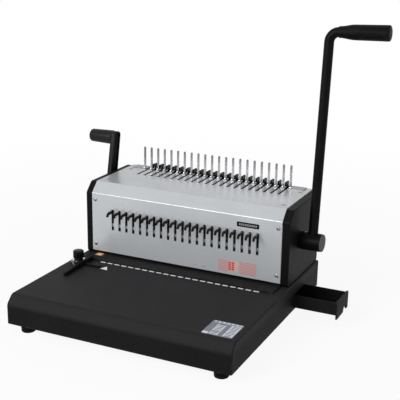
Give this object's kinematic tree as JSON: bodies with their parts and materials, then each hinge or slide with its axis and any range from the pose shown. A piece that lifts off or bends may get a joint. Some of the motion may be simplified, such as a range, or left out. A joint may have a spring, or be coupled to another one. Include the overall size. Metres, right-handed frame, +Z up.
{
  "type": "comb punch and binding machine",
  "caption": "Desk machine that punches rectangular holes along a sheet's edge with a long side lever and opens plastic binding combs with a short crank; chip drawer and edge guide.",
  "frame": {"origin": "on the desk, under the middle of the outer box; the feet stand on Z = 0 and the base's middle lies 30.4 mm to the left (-X)", "axes": "+X to the user's right (punch lever and drawer side), +Y away from the user, +Z up"},
  "size_m": [0.5858, 0.405, 0.5089],
  "materials": {
    "base_paint": "fine-textured matt black paint",
    "silver_paint": "satin silver paint",
    "black_moulding": "matt",
    "black_paint": "semi-matt black paint",
    "rubber": "matt",
    "bright_steel": "ground",
    "nickel": "bright",
    "bronze": "plain",
    "grey_cap": "satin"
  },
  "bodies": {
    "frame": {"base_shell": "base_paint", "base_floor": "base_paint", "foot_front_left": "rubber", "foot_front_right": "rubber", "foot_rear_left": "rubber", "foot_rear_right": "rubber", "cheek_left": "black_moulding", "cheek_right": "black_moulding", "cover_bars": "bright_steel", "front_cover": "silver_paint", "rear_panel": "silver_paint", "cover_front_screws": "nickel", "cover_top_screws": "nickel", "lower_die_plate": "black_paint", "upper_guide_plate": "bright_steel", "throat_spacer_left": "bright_steel", "throat_spacer_right": "bright_steel", "paper_stop": "bright_steel", "die_bolts": "bright_steel", "guide_post_left": "bright_steel", "guide_post_right": "bright_steel", "comb_tine_plate": "nickel", "main_bush_left": "bronze", "main_bush_right": "bronze", "comb_bush_left": "bronze", "comb_bush_right": "bronze", "carriage_rail_left": "bright_steel", "carriage_rail_right": "bright_steel", "drawer_rail_front": "bright_steel", "drawer_rail_rear": "bright_steel"},
    "punch_lever": {"main_shaft": "bright_steel", "main_pinion_left": "bright_steel", "main_pinion_right": "bright_steel", "lever_hub": "black_paint", "lever_bar": "black_paint", "lever_grip": "rubber", "hub_cap": "grey_cap", "hub_set_screw": "bright_steel"},
    "punch_unit": {"punch_beam": "bright_steel", "punches": "bright_steel", "selector_tabs": "black_paint", "selector_strip": "bright_steel", "punch_rack_left": "bright_steel", "punch_rack_right": "bright_steel", "return_spring_left": "bright_steel", "return_spring_right": "bright_steel"},
    "comb_crank": {"comb_shaft": "bright_steel", "comb_pinion_left": "bright_steel", "comb_pinion_right": "bright_steel", "crank_handle": "black_moulding", "crank_bolt": "bright_steel"},
    "comb_unit": {"hook_carriage": "bright_steel", "comb_hooks": "black_paint", "comb_rack_left": "bright_steel", "comb_rack_right": "bright_steel"},
    "drawer": {"chip_drawer": "black_paint", "drawer_face": "black_paint"},
    "paper_guide": {"edge_guide": "black_moulding"},
    "clamp": {"clamp_knob": "black_moulding"}
  },
  "joints": [
    {"name": "lever_hinge", "type": "hinge", "parent": "frame", "child": "punch_lever", "pos_m": [-0.03042, 0.1, 0.1366], "axis": [1, 0, 0], "range_deg": [0, 80]},
    {"name": "punch_slide", "type": "slide", "parent": "frame", "child": "punch_unit", "axis": [0, 0, -1], "range_m": [0, 0.0256], "stiffness_N_per_m": 3000, "springref_m": -0.015, "deforming": ["return_spring_left", "return_spring_right"]},
    {"name": "crank_hinge", "type": "hinge", "parent": "frame", "child": "comb_crank", "pos_m": [-0.03042, 0.14, 0.1306], "axis": [1, 0, 0], "range_deg": [0, 88]},
    {"name": "comb_slide", "type": "slide", "parent": "frame", "child": "comb_unit", "axis": [0, -1, 0], "range_m": [0, 0.0342]},
    {"name": "drawer_slide", "type": "slide", "parent": "frame", "child": "drawer", "axis": [1, 0, 0], "range_m": [-0.076, 0.16]},
    {"name": "guide_slide", "type": "slide", "parent": "frame", "child": "paper_guide", "axis": [1, 0, 0], "range_m": [-0.0065, 0.0085]},
    {"name": "knob_turn", "type": "hinge", "parent": "paper_guide", "child": "clamp", "pos_m": [-0.21141, -0.017, 0.073], "axis": [0, 0, 1], "range_deg": [0, 180]}
  ],
  "couplings": [
    {"joint": "punch_slide", "follows": "lever_hinge", "m_per_rad": 0.018},
    {"joint": "comb_slide", "follows": "crank_hinge", "m_per_rad": 0.022}
  ]
}
